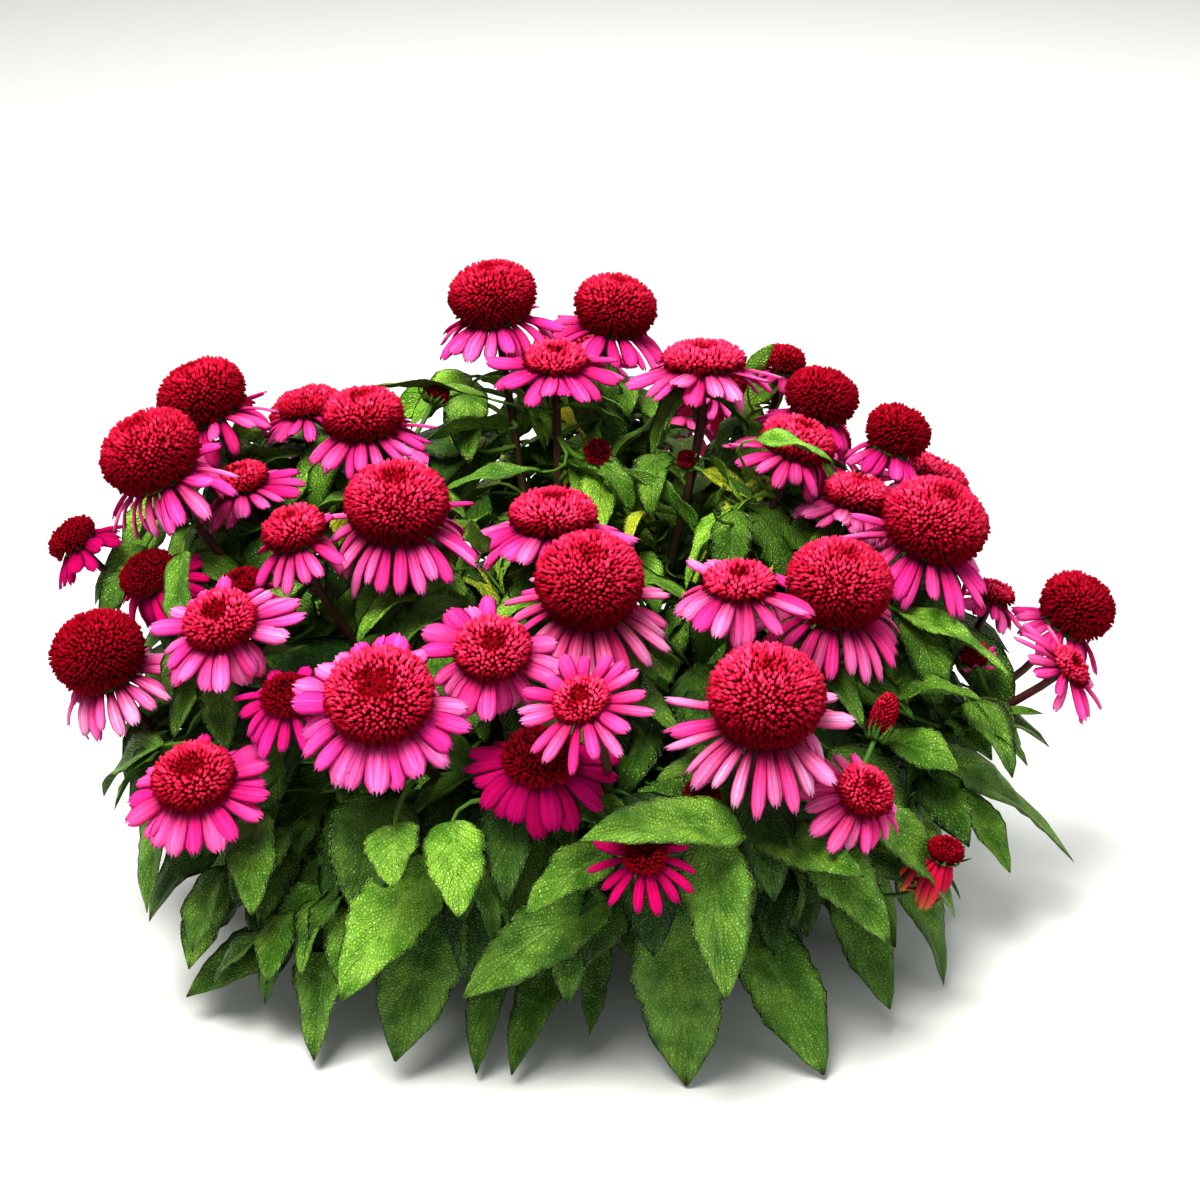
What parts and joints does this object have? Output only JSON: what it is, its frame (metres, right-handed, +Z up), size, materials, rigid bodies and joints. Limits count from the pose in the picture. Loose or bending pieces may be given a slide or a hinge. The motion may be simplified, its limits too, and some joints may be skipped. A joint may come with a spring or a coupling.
{
  "type": "purple coneflower plant",
  "caption": "Clump of double-flowered purple coneflower: pink rays under dense crimson cones on leafy stems, cut at soil level and standing on its woody crown.",
  "frame": {"origin": "middle of the crown's flat cut underside, on the surface that the plant stands on", "axes": "+Z up along the plant, +X to the right seen from the front, -Y to the front, where the lowest blooms hang"},
  "size_m": [0.5483, 0.5213, 0.3112],
  "materials": {
    "leaf": "living green leaf, satin with a soft sheen, darker and cooler in the shade of the clump",
    "ray_petal": "soft matte petal, magenta pink, paler towards the tip",
    "cone_floret": "matte, deep crimson florets with brighter pink-red tips",
    "crown_wood": "rough brown rootstock, cut flat underneath"
  },
  "bodies": {
    "root": {"crown": "crown_wood", "foliage": "leaf", "bloom_01": "cone_floret", "bloom_02": "cone_floret", "bloom_03": "ray_petal", "bloom_04": "ray_petal", "bloom_05": "cone_floret", "bloom_06": "cone_floret", "bloom_07": "cone_floret", "bloom_08": "ray_petal", "bloom_09": "ray_petal", "bloom_10_rays": "ray_petal", "bloom_10_cone": "cone_floret", "bloom_11_rays": "ray_petal", "bloom_11_cone": "cone_floret", "bloom_12": "ray_petal", "bloom_13_rays": "ray_petal", "bloom_13_cone": "cone_floret", "bloom_14_rays": "ray_petal", "bloom_14_cone": "cone_floret", "bloom_15_rays": "ray_petal", "bloom_15_cone": "cone_floret", "bloom_16": "ray_petal", "bloom_17": "ray_petal", "bloom_18": "ray_petal", "bloom_19_rays": "ray_petal", "bloom_19_cone": "cone_floret", "bloom_20_rays": "ray_petal", "bloom_20_cone": "cone_floret", "bloom_21": "ray_petal", "bloom_22": "cone_floret", "bloom_23": "ray_petal", "bloom_24": "ray_petal", "bloom_25": "ray_petal", "bloom_26": "cone_floret", "bloom_27_rays": "ray_petal", "bloom_27_cone": "cone_floret", "bloom_28": "cone_floret", "bloom_29": "ray_petal", "bloom_30": "ray_petal", "bloom_31": "ray_petal", "bloom_32": "ray_petal", "bloom_33": "ray_petal", "bloom_34": "cone_floret", "bloom_35": "ray_petal", "bloom_36": "ray_petal", "bloom_37": "ray_petal", "bloom_38": "ray_petal", "bloom_39": "cone_floret", "bloom_40": "cone_floret", "bloom_41": "ray_petal", "bloom_42": "cone_floret", "bloom_43": "ray_petal", "bloom_44": "ray_petal", "bloom_45": "ray_petal", "bloom_46": "cone_floret", "bloom_47": "ray_petal"}
  },
  "joints": []
}
